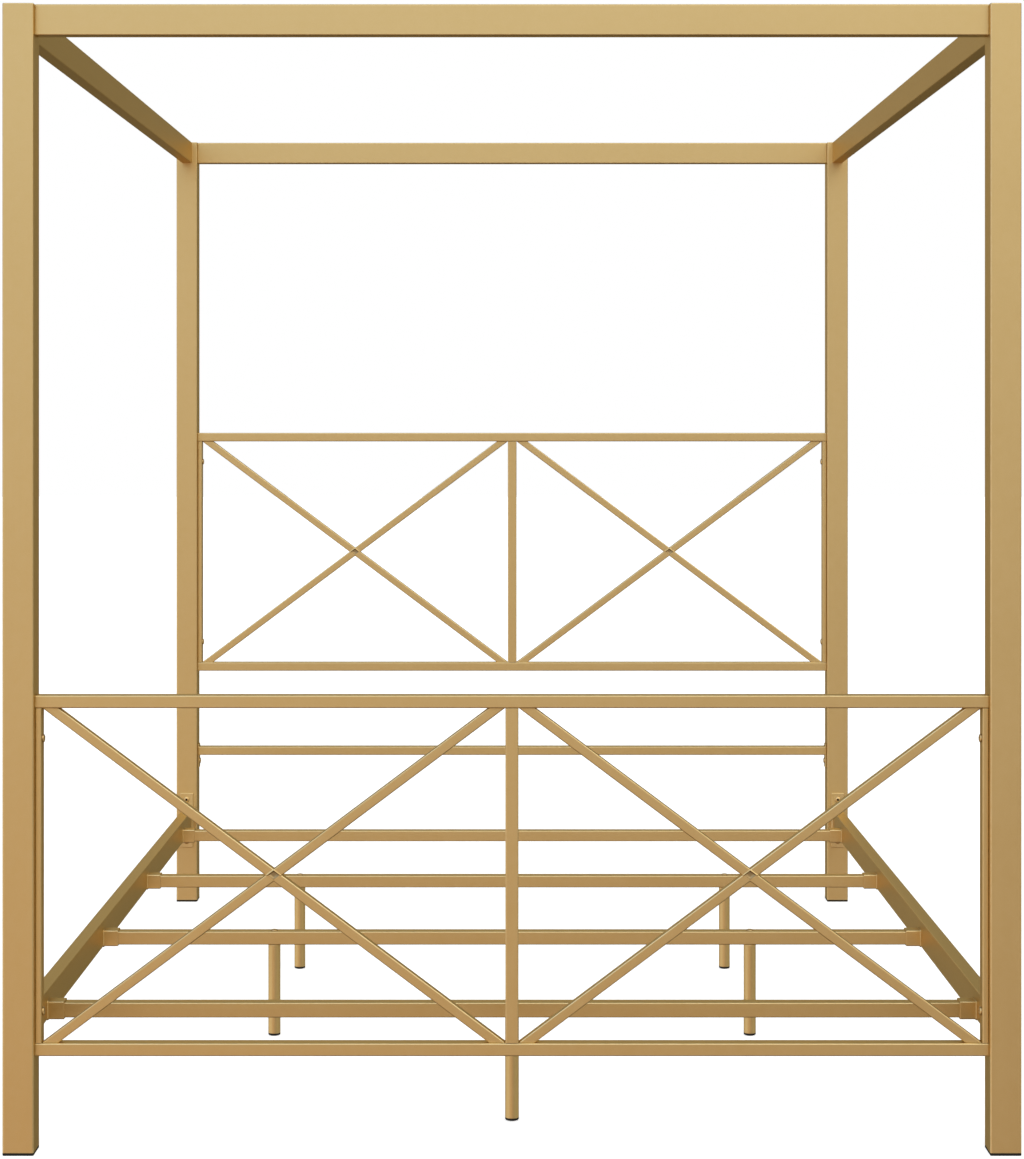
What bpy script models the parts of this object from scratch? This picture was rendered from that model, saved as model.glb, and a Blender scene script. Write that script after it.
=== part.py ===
"""Four poster canopy bed, bolted together from square steel tube.

Lengths are in metres. Seen from the foot of the bed, +X runs to the right, +Y towards the
head and +Z up. The origin lies on the floor, below the middle of the bed.
"""

import math

import bmesh
import bpy
from mathutils import Matrix, Vector

# Whole bed, for a queen mattress of 1.524 by 2.032
WIDTH = 1.628
LENGTH = 2.140
HEIGHT = 1.8415
FIT = 0.0003  # gap between two pieces that touch

# Corner posts: square tube, closed at the top, plugged at the floor
POST = 0.050
POST_WALL = 0.0012
POST_CORNER = 0.0025
POST_TOP_ROUND = 0.001
FOOT_RIM = 0.004
FOOT_PLUG = 0.018
FOOT_WALL = 0.002
SOLE_INSET = 0.0005
SOLE_ROUND = 0.00075

# Rails: the canopy's four and the two under the mattress
RAIL_TALL = 0.050
RAIL_THICK = 0.025
RAIL_WALL = 0.0012
RAIL_CORNER = 0.002
SIDE_RAIL_Z = 0.1965
HOOK_THICK = 0.003
HOOK_TALL = 0.030
HOOK_REACH = 0.012

# Plates that bolt the side rails to the posts
PLATE_WIDE = 0.032
PLATE_TALL = 0.132
PLATE_THICK = 0.003
PLATE_CORNER = 0.003
PLATE_Z = 0.198
PLATE_BOLT_RISE = 0.050

# Slats, and the sockets on the side rails that hold their ends
SLAT = 0.025
SLAT_WALL = 0.001
SLAT_Z = 0.1873
SLAT_PITCH = 0.5771
SOCKET_REACH = 0.0275
SOCKET_WALL = 0.0022
SOCKET_CORNER = 0.0018

# Centre legs, each hung from a slat by a bolt
LEG_RADIUS = 0.0115
LEG_WALL = 0.0012
LEG_TOP = 0.003
LEG_FOOT_RIM = 0.005
LEG_FOOT_PLUG = 0.012
LEG_SOLE_ROUND = 0.00225
LEG_SOLE_FLAT = 0.006
LEG_HEAD_TALL = 0.0025
LEG_HEAD_FLAT = 0.002
LEG_OUT = 0.453
LEGS = {"leg_1_centre": (1, 0.0), "leg_2_left": (2, -LEG_OUT), "leg_2_right": (2, LEG_OUT),
        "leg_3_left": (3, -LEG_OUT), "leg_3_right": (3, LEG_OUT)}

# Headboard and footboard: the same welded panel at two heights
PANEL_TALL = 0.578
FOOTBOARD_Z = 0.156
HEADBOARD_Z = 0.5585
BAR = 0.0205
BAR_DEEP = 0.025
BAR_WALL = 0.001
BAR_CORNER = 0.002
SIDE_BAR = 0.010
CENTRE_BAR = 0.021
BRACE = 0.016
BRACE_PRESSED = 0.0105  # half height of the stretch where a brace is pressed flat to pass another
BRACE_BLEND = 0.005
PANEL_BOLT_INSET = 0.070

# Bar across the foot of the headboard, with its two end tabs
CROSSBAR_Z = 0.3642
TAB_LOW = 0.323
TAB_HIGH = 0.381
TAB_THICK = 0.003
TAB_OVERHANG = 0.0005
TAB_BOLT_Z = 0.3395

# Bolts: a domed head with a hexagon socket, and the nut that it draws up
BOLT_RADIUS = 0.003
BOLT_HOLE_RADIUS = 0.0035
HEAD_RADIUS = 0.007
HEAD_TALL = 0.0032
HEAD_FLAT = 0.0035
HEAD_SINK = 0.0001  # of a head into the plate or tab that it is joined to
SOCKET_FLATS = 0.0045
SOCKET_DEEP = 0.0016
NUT_FLATS = 0.010
NUT_TALL = 0.005
BOLT_SIDES = 12
HOLE_SIDES = 8
LEG_SIDES = 16
DOME_STEPS = 3

# Colour, roughness and metallic value
FINISHES = {
    "gold": ((0.56, 0.36, 0.13), 0.42, 0.55),
    "bolt": ((0.48, 0.30, 0.11), 0.35, 0.7),
    "black": ((0.012, 0.012, 0.012), 0.6, 0.0),
}

SIDES = {"left": -1, "right": 1}
ENDS = {"front": -1, "rear": 1}
POST_X = (WIDTH - POST) / 2
POST_Y = (LENGTH - POST) / 2
INNER_X = POST_X - POST / 2
INNER_Y = POST_Y - POST / 2
CANOPY_Z = HEIGHT - RAIL_TALL / 2


# Outlines and the bodies made from them

def rounded_rectangle(wide, tall, corner, steps=2):
    """Points of a rectangle about (0, 0), each corner an arc of the given radius."""
    points = []
    for quarter, (x_sign, y_sign) in enumerate(((1, 1), (-1, 1), (-1, -1), (1, -1))):
        for step in range(steps + 1):
            angle = math.radians(90 * quarter + 90 * step / steps)
            x = x_sign * (wide / 2 - corner) + corner * math.cos(angle)
            y = y_sign * (tall / 2 - corner) + corner * math.sin(angle)
            points.append((x, y))
    return points


def circle(radius, sides):
    turns = [math.tau * i / sides for i in range(sides)]
    return [(radius * math.cos(a), radius * math.sin(a)) for a in turns]


def hexagon(flats):
    """A hexagon with as many points as a bolt's circle: its corners and the middles of its sides."""
    points = []
    for i in range(BOLT_SIDES):
        turn = math.tau * i / BOLT_SIDES
        from_middle = (turn + math.pi / 6) % (math.pi / 3) - math.pi / 6
        radius = flats / 2 / math.cos(from_middle)
        points.append((radius * math.cos(turn), radius * math.sin(turn)))
    return points


def level(outline, z):
    """The outline as a ring at height z."""
    return [Vector((x, y, z)) for x, y in outline]


def dome(radius, flat, foot, top, sides):
    """Rings of a domed end, from its full radius at height foot to the radius flat at height top."""
    rings = []
    for step in range(DOME_STEPS + 1):
        turn = math.pi / 2 * step / DOME_STEPS
        outline = circle(flat + (radius - flat) * math.cos(turn), sides)
        rings.append(level(outline, foot + (top - foot) * math.sin(turn)))
    return rings


def body(rings, ends_meet=False):
    """One closed mesh through the rings, in order. The last joins the first, or both get a cap."""
    mesh = bmesh.new()
    loops = [[mesh.verts.new(point) for point in ring] for ring in rings]
    pairs = list(zip(loops, loops[1:]))
    if ends_meet:
        pairs.append((loops[-1], loops[0]))
    else:
        mesh.faces.new(loops[0])
        mesh.faces.new(loops[-1])
    count = len(rings[0])
    for low, high in pairs:
        for i in range(count):
            j = (i + 1) % count
            mesh.faces.new((low[i], low[j], high[j], high[i]))
    bmesh.ops.recalc_face_normals(mesh, faces=mesh.faces)
    return mesh


def open_tube(wide, tall, length, wall, corner):
    """Rounded square tube along local Z, open at both ends."""
    outer = rounded_rectangle(wide, tall, corner)
    inner = rounded_rectangle(wide - 2 * wall, tall - 2 * wall, corner - wall / 2)
    half = length / 2
    rings = [level(outer, -half), level(outer, half), level(inner, half), level(inner, -half)]
    return body(rings, ends_meet=True)


def block(low, high):
    """A plain box between two opposite corners."""
    (x0, y0, z0), (x1, y1, z1) = low, high
    outline = [(x0, y0), (x1, y0), (x1, y1), (x0, y1)]
    return body([level(outline, z0), level(outline, z1)])


def joined(meshes):
    """Several closed meshes gathered into one."""
    gathered = bmesh.new()
    for mesh in meshes:
        scratch = bpy.data.meshes.new("scratch")
        mesh.to_mesh(scratch)
        mesh.free()
        gathered.from_mesh(scratch)
        bpy.data.meshes.remove(scratch)
    return gathered


# Objects

def turned_to(direction):
    """The rotation that takes local Z to the direction. A level direction keeps local Y upright."""
    x, y, _ = direction
    if x:
        return Matrix(((0, 0, x), (x, 0, 0), (0, 1, 0))).to_euler()
    if y:
        return Matrix(((-y, 0, 0), (0, 0, y), (0, 1, 0))).to_euler()
    return Matrix.Identity(3).to_euler()


def paint(thing, colour, roughness, metallic):
    material = bpy.data.materials.new(thing.name)
    material.use_nodes = True
    shader = material.node_tree.nodes["Principled BSDF"]
    shader.inputs["Base Color"].default_value = (*colour, 1)
    shader.inputs["Roughness"].default_value = roughness
    shader.inputs["Metallic"].default_value = metallic
    material.diffuse_color = (*colour, 1)
    thing.data.materials.append(material)


def place(name, mesh, location=(0, 0, 0), direction=(0, 0, 1)):
    """An object from the mesh, with its local Z turned to the direction."""
    data = bpy.data.meshes.new(name)
    mesh.to_mesh(data)
    mesh.free()
    data.shade_smooth()
    data.set_sharp_from_angle(angle=math.radians(40))
    thing = bpy.data.objects.new(name, data)
    bpy.context.scene.collection.objects.link(thing)
    thing.location = location
    thing.rotation_euler = turned_to(direction)
    return thing


def sub_part(name, mesh, location=(0, 0, 0), direction=(0, 0, 1), finish="gold"):
    thing = place(name, mesh, location, direction)
    thing.parent = bed
    paint(thing, *FINISHES[finish])
    return thing


def helper(name, mesh, location=(0, 0, 0), direction=(0, 0, 1)):
    """A shape that is only cut from, or joined to, a sub-part."""
    thing = place(name, mesh, location, direction)
    thing.hide_render = True
    thing.display_type = "WIRE"
    thing.parent = bed
    return thing


def combine(thing, other, operation):
    modifier = thing.modifiers.new(f"{operation.lower()} {other.name}", "BOOLEAN")
    modifier.operation = operation
    modifier.object = other
    modifier.solver = "EXACT"


def drill(thing, places, direction, depth):
    """Bolt holes through the sub-part, each centred on its place and as long as the depth."""
    rods = []
    for position in places:
        outline = circle(BOLT_HOLE_RADIUS, HOLE_SIDES)
        rod = body([level(outline, -depth / 2), level(outline, depth / 2)])
        rod.transform(turned_to(direction).to_matrix().to_4x4())
        bmesh.ops.translate(rod, verts=rod.verts, vec=position)
        rods.append(rod)
    number = len(thing.modifiers) + 1
    combine(thing, helper(f"{thing.name}_holes_{number}", joined(rods)), "DIFFERENCE")


# Fasteners

def bolt(grip):
    """A bolt along local Z, its head's underside at 0 and its nut a grip below."""
    nut = hexagon(NUT_FLATS)
    shank = circle(BOLT_RADIUS, BOLT_SIDES)
    socket = hexagon(SOCKET_FLATS)
    rings = [level(nut, -grip - NUT_TALL), level(nut, -grip), level(shank, -grip), level(shank, 0)]
    rings += dome(HEAD_RADIUS, HEAD_FLAT, 0, HEAD_TALL, BOLT_SIDES)
    rings += [level(socket, HEAD_TALL), level(socket, HEAD_TALL - SOCKET_DEEP)]
    return body(rings)


# Posts and their feet

def post_holes(side, end):
    """Where bolts pass through one post's inner side and its inner end face."""
    panel_low = FOOTBOARD_Z if end < 0 else HEADBOARD_Z
    heights = [panel_low + PANEL_BOLT_INSET, panel_low + PANEL_TALL - PANEL_BOLT_INSET]
    if end > 0:
        heights.append(TAB_BOLT_Z)
    in_side = [(side * INNER_X, end * POST_Y, z) for z in heights]
    plate_heights = (PLATE_Z - PLATE_BOLT_RISE, PLATE_Z + PLATE_BOLT_RISE)
    in_end = [(side * POST_X, end * INNER_Y, z) for z in plate_heights]
    return in_side, in_end


def make_post(name, side, end):
    low = FOOT_RIM + FIT
    round_in = POST - 2 * POST_TOP_ROUND
    outer = rounded_rectangle(POST, POST, POST_CORNER)
    top = rounded_rectangle(round_in, round_in, POST_CORNER)
    hollow = POST - 2 * POST_WALL
    inner = rounded_rectangle(hollow, hollow, POST_CORNER - POST_WALL)
    rings = [
        level(inner, HEIGHT - 2 * POST_WALL),
        level(inner, low),
        level(outer, low),
        level(outer, HEIGHT - POST_TOP_ROUND),
        level(top, HEIGHT),
    ]
    post = sub_part(name, body(rings), (side * POST_X, end * POST_Y, 0))
    in_side, in_end = post_holes(side, end)
    drill(post, in_side, (1, 0, 0), 3 * POST_WALL)
    drill(post, in_end, (0, 1, 0), 3 * POST_WALL)
    half_thick = HOOK_THICK / 2 + FIT
    half_tall = HOOK_TALL / 2 + FIT
    through = 1.5 * POST_WALL
    x, y = side * INNER_X, end * INNER_Y
    side_slot = block((x - through, end * POST_Y - half_thick, CANOPY_Z - half_tall),
                      (x + through, end * POST_Y + half_thick, CANOPY_Z + half_tall))
    end_slot = block((side * POST_X - half_thick, y - through, CANOPY_Z - half_tall),
                     (side * POST_X + half_thick, y + through, CANOPY_Z + half_tall))
    combine(post, helper(f"{name}_slots", joined([side_slot, end_slot])), "DIFFERENCE")


def make_post_foot(name, side, end):
    """A plug pressed into the tube, its rim showing between the post and the floor."""
    plug_wide = POST - 2 * POST_WALL - 2 * FIT
    hollow = plug_wide - 2 * FOOT_WALL
    rim = rounded_rectangle(POST, POST, POST_CORNER)
    sole_wide = POST - 2 * SOLE_INSET
    sole = rounded_rectangle(sole_wide, sole_wide, POST_CORNER)
    plug = rounded_rectangle(plug_wide, plug_wide, POST_CORNER - POST_WALL)
    inside = rounded_rectangle(hollow, hollow, POST_CORNER - POST_WALL)
    rings = [
        level(sole, 0),
        level(rim, SOLE_ROUND),
        level(rim, FOOT_RIM),
        level(plug, FOOT_RIM),
        level(plug, FOOT_PLUG),
        level(inside, FOOT_PLUG),
        level(inside, FOOT_RIM),
    ]
    sub_part(name, body(rings), (side * POST_X, end * POST_Y, 0), finish="black")


# Canopy

def hook():
    """A hook plate along local Z, a T from above.

    Its bar is welded into the end of the tube, and its stem enters the post.
    """
    bar_half = (RAIL_THICK - RAIL_WALL) / 2
    stem_half = HOOK_THICK / 2
    right = [(bar_half, -2 * HOOK_THICK), (bar_half, -HOOK_THICK)]
    right += [(stem_half, -HOOK_THICK), (stem_half, HOOK_REACH)]
    left = [(-u, along) for u, along in reversed(right)]
    heights = (-HOOK_TALL / 2, HOOK_TALL / 2)
    return body([[Vector((u, height, along)) for u, along in right + left] for height in heights])


def make_canopy_rail(name, position, direction, length):
    """A rail between two posts, hooked into a slot in each."""
    mesh = open_tube(RAIL_THICK, RAIL_TALL, length, RAIL_WALL, RAIL_CORNER)
    rail = sub_part(name, mesh, position, direction)
    for number, end in enumerate((-1, 1), 1):
        outward = end * Vector(direction)
        shape = helper(f"{name}_hook_{number}", hook(), Vector(position) + outward * length / 2, outward)
        combine(rail, shape, "UNION")


# Side rails, plates and slats

def slat_y(number):
    """Where slat 1 to 4 lies, counted from the foot of the bed."""
    return (number - 2.5) * SLAT_PITCH


def make_side_rail(name, side):
    length = 2 * (INNER_Y - 2 * FIT - PLATE_THICK)
    mesh = open_tube(RAIL_THICK, RAIL_TALL, length, RAIL_WALL, RAIL_CORNER)
    rail = sub_part(name, mesh, (side * POST_X, 0, SIDE_RAIL_Z), (0, 1, 0))
    face = POST_X - RAIL_THICK / 2
    root = face + RAIL_WALL / 2
    opening = SLAT + 2 * FIT
    outside = opening + 2 * SOCKET_WALL
    for number in (1, 2, 3, 4):
        long = root - face + SOCKET_REACH
        socket = open_tube(outside, outside, long, SOCKET_WALL, SOCKET_CORNER)
        middle = (side * (root - long / 2), slat_y(number), SLAT_Z)
        shape = helper(f"{name}_socket_{number}", socket, middle, (1, 0, 0))
        combine(rail, shape, "UNION")


def make_rail_plate(name, side, end):
    """The plate on one end of a side rail, with its two bolts drawn up through the post's wall."""
    outline = rounded_rectangle(PLATE_WIDE, PLATE_TALL, PLATE_CORNER)
    mesh = body([level(outline, 0), level(outline, PLATE_THICK)])
    face_y = end * (INNER_Y - FIT)
    inward = (0, -end, 0)
    plate = sub_part(name, mesh, (side * POST_X, face_y, PLATE_Z), inward)
    grip = PLATE_THICK + 2 * FIT + POST_WALL
    head_y = face_y - end * (PLATE_THICK - HEAD_SINK)
    for word, rise in (("lower", -PLATE_BOLT_RISE), ("upper", PLATE_BOLT_RISE)):
        seat = (side * POST_X, head_y, PLATE_Z + rise)
        combine(plate, helper(f"{name}_{word}_bolt", bolt(grip), seat, inward), "UNION")


def make_slat(name, number):
    """A square tube from rail to rail, drilled through where a leg's bolt passes."""
    length = 2 * (POST_X - RAIL_THICK / 2 - FIT)
    mesh = open_tube(SLAT, SLAT, length, SLAT_WALL, BAR_CORNER)
    slat = sub_part(name, mesh, (0, slat_y(number), SLAT_Z), (1, 0, 0))
    places = [(x, slat_y(number), SLAT_Z) for row, x in LEGS.values() if row == number]
    if places:
        drill(slat, places, (0, 0, 1), 2 * SLAT)


# Legs

def make_leg(name, row, x):
    """A round tube with its hanging bolt, whose head lies on top of the slat."""
    low = LEG_FOOT_RIM + FIT
    top = SLAT_Z - SLAT / 2 - FIT
    head = SLAT_Z + SLAT / 2 + FIT
    wall = circle(LEG_RADIUS, LEG_SIDES)
    bore = circle(LEG_RADIUS - LEG_WALL, LEG_SIDES)
    shank = circle(BOLT_RADIUS, LEG_SIDES)
    rings = [level(bore, top - LEG_TOP), level(bore, low), level(wall, low), level(wall, top)]
    rings += [level(shank, top), level(shank, head)]
    rings += dome(HEAD_RADIUS, LEG_HEAD_FLAT, head, head + LEG_HEAD_TALL, LEG_SIDES)
    sub_part(name, body(rings), (x, slat_y(row), 0))


def make_leg_foot(name, row, x):
    """A round plug with a domed sole."""
    rim = circle(LEG_RADIUS, LEG_SIDES)
    plug = circle(LEG_RADIUS - LEG_WALL - FIT, LEG_SIDES)
    plug_top = LEG_FOOT_RIM + LEG_FOOT_PLUG
    rings = dome(LEG_RADIUS, LEG_SOLE_FLAT, LEG_SOLE_ROUND, 0, LEG_SIDES)[::-1]
    rings += [level(rim, LEG_FOOT_RIM), level(plug, LEG_FOOT_RIM), level(plug, plug_top)]
    sub_part(name, body(rings), (x, slat_y(row), 0), finish="black")


# Headboard and footboard

def brace_mesh(x_low, x_high, z_low, z_high, face):
    """A slanting square tube cut level at both ends, and pressed midway to half its depth.

    x_low and x_high are the middles of its two end cuts. face is -1 where it keeps its front half.
    """
    middle = (z_low + z_high) / 2
    run = (x_high - x_low) / (z_high - z_low)
    cut_wide = BRACE * math.hypot(1, run)
    stops = [z_low, middle - BRACE_PRESSED - BRACE_BLEND, middle - BRACE_PRESSED,
             middle + BRACE_PRESSED, middle + BRACE_PRESSED + BRACE_BLEND, z_high]

    def rings(inset, order):
        made = []
        for z in order:
            pressed = abs(z - middle) < BRACE_PRESSED + BRACE_BLEND / 2
            deep = (BRACE - FIT) / 2 if pressed else BRACE
            shift = face * (BRACE - deep) / 2
            outline = rounded_rectangle(BRACE - 2 * inset, deep - 2 * inset, BAR_CORNER - inset / 2)
            x = x_low + run * (z - z_low)
            stretch = cut_wide / BRACE
            made.append([Vector((x + u * stretch, v + shift, z)) for u, v in outline])
        return made

    return body(rings(0, stops) + rings(BAR_WALL, reversed(stops)), ends_meet=True)


def make_braces(prefix, side, inner, outer, z_low, z_high, y):
    """The two crossing braces of one window, each ending with a corner in the window's corner."""
    wide = outer - inner - 2 * FIT
    tall = z_high - z_low
    slope = math.atan2(tall, wide) + math.asin(BRACE / math.hypot(wide, tall))
    half_cut = BRACE / math.sin(slope) / 2
    near = side * (inner + FIT + half_cut)
    far = side * (outer - FIT - half_cut)
    sub_part(f"{prefix}_front_brace", brace_mesh(near, far, z_low, z_high, -1), (0, y, 0))
    sub_part(f"{prefix}_rear_brace", brace_mesh(far, near, z_low, z_high, 1), (0, y, 0))


def make_panel_bolt(name, side, y, z):
    """A bolt through a panel's side bar and the post's wall, its head towards the bed."""
    grip = SIDE_BAR + POST_WALL + 4 * FIT
    face_x = side * (INNER_X - SIDE_BAR - 2 * FIT)
    sub_part(name, bolt(grip), (face_x, y, z), (-side, 0, 0), finish="bolt")


def make_panel(prefix, bottom, y):
    top = bottom + PANEL_TALL
    long = 2 * (INNER_X - FIT)
    for word, z in (("bottom", bottom + BAR / 2), ("top", top - BAR / 2)):
        mesh = open_tube(BAR_DEEP, BAR, long, BAR_WALL, BAR_CORNER)
        sub_part(f"{prefix}_{word}_bar", mesh, (0, y, z), (1, 0, 0))
    z_low = bottom + BAR + FIT
    z_high = top - BAR - FIT
    middle = (bottom + top) / 2
    centre = open_tube(CENTRE_BAR, BAR_DEEP, z_high - z_low, BAR_WALL, BAR_CORNER)
    sub_part(f"{prefix}_centre_bar", centre, (0, y, middle))
    bolt_heights = {"lower": bottom + PANEL_BOLT_INSET, "upper": top - PANEL_BOLT_INSET}
    side_inner = INNER_X - FIT - SIDE_BAR
    for word, side in SIDES.items():
        mesh = open_tube(SIDE_BAR, BAR_DEEP, z_high - z_low, BAR_WALL, BAR_CORNER)
        x = side * (side_inner + SIDE_BAR / 2)
        bar = sub_part(f"{prefix}_{word}_bar", mesh, (x, y, middle))
        drill(bar, [(x, y, z) for z in bolt_heights.values()], (1, 0, 0), 2 * SIDE_BAR)
        for level_word, z in bolt_heights.items():
            make_panel_bolt(f"{prefix}_{word}_{level_word}_bolt", side, y, z)
        make_braces(f"{prefix}_{word}", side, CENTRE_BAR / 2, side_inner, z_low, z_high, y)


def make_crossbar(name):
    """A tube between the rear posts, with a bolted tab at each end."""
    tab_face = INNER_X - FIT - TAB_THICK
    tab_back = INNER_X - FIT
    tube = open_tube(BAR_DEEP, BAR, 2 * tab_face + TAB_THICK, BAR_WALL, BAR_CORNER)
    crossbar = sub_part(name, tube, (0, POST_Y, CROSSBAR_Z), (1, 0, 0))
    half_deep = BAR_DEEP / 2 + TAB_OVERHANG
    grip = TAB_THICK + POST_WALL + 2 * FIT
    for word, side in SIDES.items():
        near, far = sorted((side * tab_face, side * tab_back))
        tab = block((near, POST_Y - half_deep, TAB_LOW), (far, POST_Y + half_deep, TAB_HIGH))
        combine(crossbar, helper(f"{name}_{word}_tab", tab), "UNION")
        seat = (side * (tab_face + HEAD_SINK), POST_Y, TAB_BOLT_Z)
        combine(crossbar, helper(f"{name}_{word}_bolt", bolt(grip), seat, (-side, 0, 0)), "UNION")
    vents = [(side * tab_back, POST_Y, CROSSBAR_Z) for side in SIDES.values()]
    drill(crossbar, vents, (1, 0, 0), 4 * TAB_THICK)


def clear_scene():
    for thing in list(bpy.data.objects):
        bpy.data.objects.remove(thing)


clear_scene()
bed = bpy.data.objects.new("bed", None)
bpy.context.scene.collection.objects.link(bed)

between_sides = 2 * (INNER_X - FIT)
between_ends = 2 * (INNER_Y - FIT)
for end_word, end_sign in ENDS.items():
    for side_word, side_sign in SIDES.items():
        corner_word = f"{end_word}_{side_word}"
        make_post(f"post_{corner_word}", side_sign, end_sign)
        make_post_foot(f"post_foot_{corner_word}", side_sign, end_sign)
        make_rail_plate(f"rail_plate_{corner_word}", side_sign, end_sign)
    rail_middle = (0, end_sign * POST_Y, CANOPY_Z)
    make_canopy_rail(f"canopy_rail_{end_word}", rail_middle, (1, 0, 0), between_sides)

for side_word, side_sign in SIDES.items():
    rail_middle = (side_sign * POST_X, 0, CANOPY_Z)
    make_canopy_rail(f"canopy_rail_{side_word}", rail_middle, (0, 1, 0), between_ends)
    make_side_rail(f"side_rail_{side_word}", side_sign)

for slat_number in (1, 2, 3, 4):
    make_slat(f"slat_{slat_number}", slat_number)

for leg_name, (slat_row, leg_x) in LEGS.items():
    make_leg(leg_name, slat_row, leg_x)
    make_leg_foot(leg_name.replace("leg", "leg_foot"), slat_row, leg_x)

make_panel("footboard", FOOTBOARD_Z, -POST_Y)
make_panel("headboard", HEADBOARD_Z, POST_Y)
make_crossbar("headboard_crossbar")
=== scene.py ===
"""Looks of the four poster canopy bed.

Each tube of the frame is built again with finely rounded corners, and gets its welds, plates,
domed bolts and feet, and a satin gold powder coat. Places and sizes come from the frame's boxes.
Lengths are in metres. Seen from the foot, +X runs to the right, +Y to the head and +Z up.
"""

import math

import bmesh
import bpy
from mathutils import Matrix, Vector


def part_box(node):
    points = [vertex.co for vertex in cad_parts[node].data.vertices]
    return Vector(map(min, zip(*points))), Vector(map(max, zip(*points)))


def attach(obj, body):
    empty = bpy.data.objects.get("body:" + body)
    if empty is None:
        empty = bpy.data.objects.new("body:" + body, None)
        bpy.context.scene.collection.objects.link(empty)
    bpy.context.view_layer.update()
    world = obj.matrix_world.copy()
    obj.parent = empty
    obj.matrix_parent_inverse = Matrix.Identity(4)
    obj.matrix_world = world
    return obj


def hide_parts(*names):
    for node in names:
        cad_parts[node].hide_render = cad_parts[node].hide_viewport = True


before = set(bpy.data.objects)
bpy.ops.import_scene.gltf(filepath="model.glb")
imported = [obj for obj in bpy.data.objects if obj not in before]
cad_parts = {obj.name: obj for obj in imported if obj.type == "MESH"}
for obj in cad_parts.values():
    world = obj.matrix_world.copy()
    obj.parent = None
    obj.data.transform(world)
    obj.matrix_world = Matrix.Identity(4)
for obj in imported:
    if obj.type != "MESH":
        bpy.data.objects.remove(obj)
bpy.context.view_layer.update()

SIDES = {"left": -1, "right": 1}
ENDS = {"front": -1, "rear": 1}
GAP = 0.0003  # between two pieces that touch

# Camera, level at the foot of the bed
CAMERA_PLACE = (0.0012, -5.1016, 1.1893)
CAMERA_LENS = 78.43
CAMERA_SENSOR = 36
CAMERA_SHIFT = (-0.0006, -0.1452)

# Rounding and walls, which the boxes don't tell
SHARP_FROM = math.radians(45)
CORNER_STEPS = 6
RIM = 0.0004
POST_CORNER = 0.0025
POST_TOP = 0.0015
POST_TOP_STEPS = 5
TUBE_CORNER = 0.002
POST_WALL = 0.0012
RAIL_WALL = 0.0012
BAR_WALL = 0.001
SOCKET_WALL = 0.0022
SOCKET_RIM = 0.0007
PLATE_THICK = 0.003
PLATE_CORNER = 0.003
PLATE_ROUND = 0.0014
TAB_CORNER = 0.002

# Post feet
SOLE_ROUND = 0.0008
FOOT_TOP_ROUND = 0.0002
PLUG_WALL = 0.002
PLUG_LEAD_IN = 0.001
PLUG_LEAD_INSET = 0.0005

# Crossing of two braces: a pocket pressed into the one in front, under raised upper edges
POCKET_HALF = 0.0058  # from each brace's centre line to the pocket's edge
POCKET_DEEP = 0.0030
POCKET_SHALLOW = 0.35  # share of the depth that its lowest corner has
POCKET_LOW_SHADE = 0.75  # share of the painted shade that its lowest corner has
POCKET_SHADE_SPILL = 0.0003  # how far the painted shade runs past the pocket's edge
POCKET_WALL = 0.0009  # width of the steep slope under the upper edges
POCKET_FADE = 0.0040  # width of the gentle slope to the lower edges
LIP_OUT = 0.0069  # from the centre line to the crest of a raised edge
LIP_TALL = 0.0008
LIP_WIDE = 0.0009
LIP_FADE = 0.0012
CROSSING_SPAN = 0.0105  # from the other brace's centre line to the first and last fine ring
CROSSING_LEVELS = 70
CROSSING_COLUMNS = 40
LAP_GAP = 0.00003

# Bolts, the hexagon sockets in their heads, and their nuts
SHANK_RADIUS = 0.003
HEAD_RADIUS = 0.007
HEAD_TALL = 0.0032
HEAD_EDGE = 0.0005
HEAD_BEVEL = 0.0003
DOME_STEPS = 7
HEX_FLATS = 0.005
HEX_LIP = 1.25  # the dome ends at this many times the socket's half width
HEX_BEVEL = 0.0003
HEX_DEEP = 0.0019
HEX_CONE = 0.0004
HEX_TIP = HEX_FLATS / 6  # radius of the flat at the bottom of the socket
NUT_FLATS = 0.010
NUT_TALL = 0.005
BOLT_SIDES = 36
PLATE_BOLT_RISE = 0.050

# Crossbar between the rear posts
CROSSBAR_Z = 0.3642
TAB_BOLT_Z = 0.3395

# Legs and their feet
LEG_SIDES = 48
LEG_WALL = 0.0012
LEG_TOP = 0.003
LEG_DOME_STEPS = 9
LEG_SOLE_STEPS = 7
LEG_SOLE_SHARE = 0.55  # share of the foot's rim that its round sole takes
LEG_FOOT_BEVEL = 0.0003

# Edge tint: 0 is a whole coat, 1 uncoated metal with a painted highlight on gold and zinc, and
# below 0 painted shade in pressed crossings and bolt sockets
HEAD_WEAR_AND_HIGHLIGHT = 0.6
DOME_WEAR_AND_HIGHLIGHT = 0.15
HEX_LIP_WEAR_AND_HIGHLIGHT = 0.8
HEX_SHADE = -0.6
DEEPEST_PAINTED_SHADE = -1
LEG_END_WEAR_AND_HIGHLIGHT = 0.8
LEG_WEAR_REACH = 4 * RIM  # from the leg's end
LEG_DOME_WEAR_AND_HIGHLIGHT = 0.3
SOLE_WEAR = 0.4
FOOT_WEAR = 0.3
BEAD_WEAR = 0.25

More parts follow.
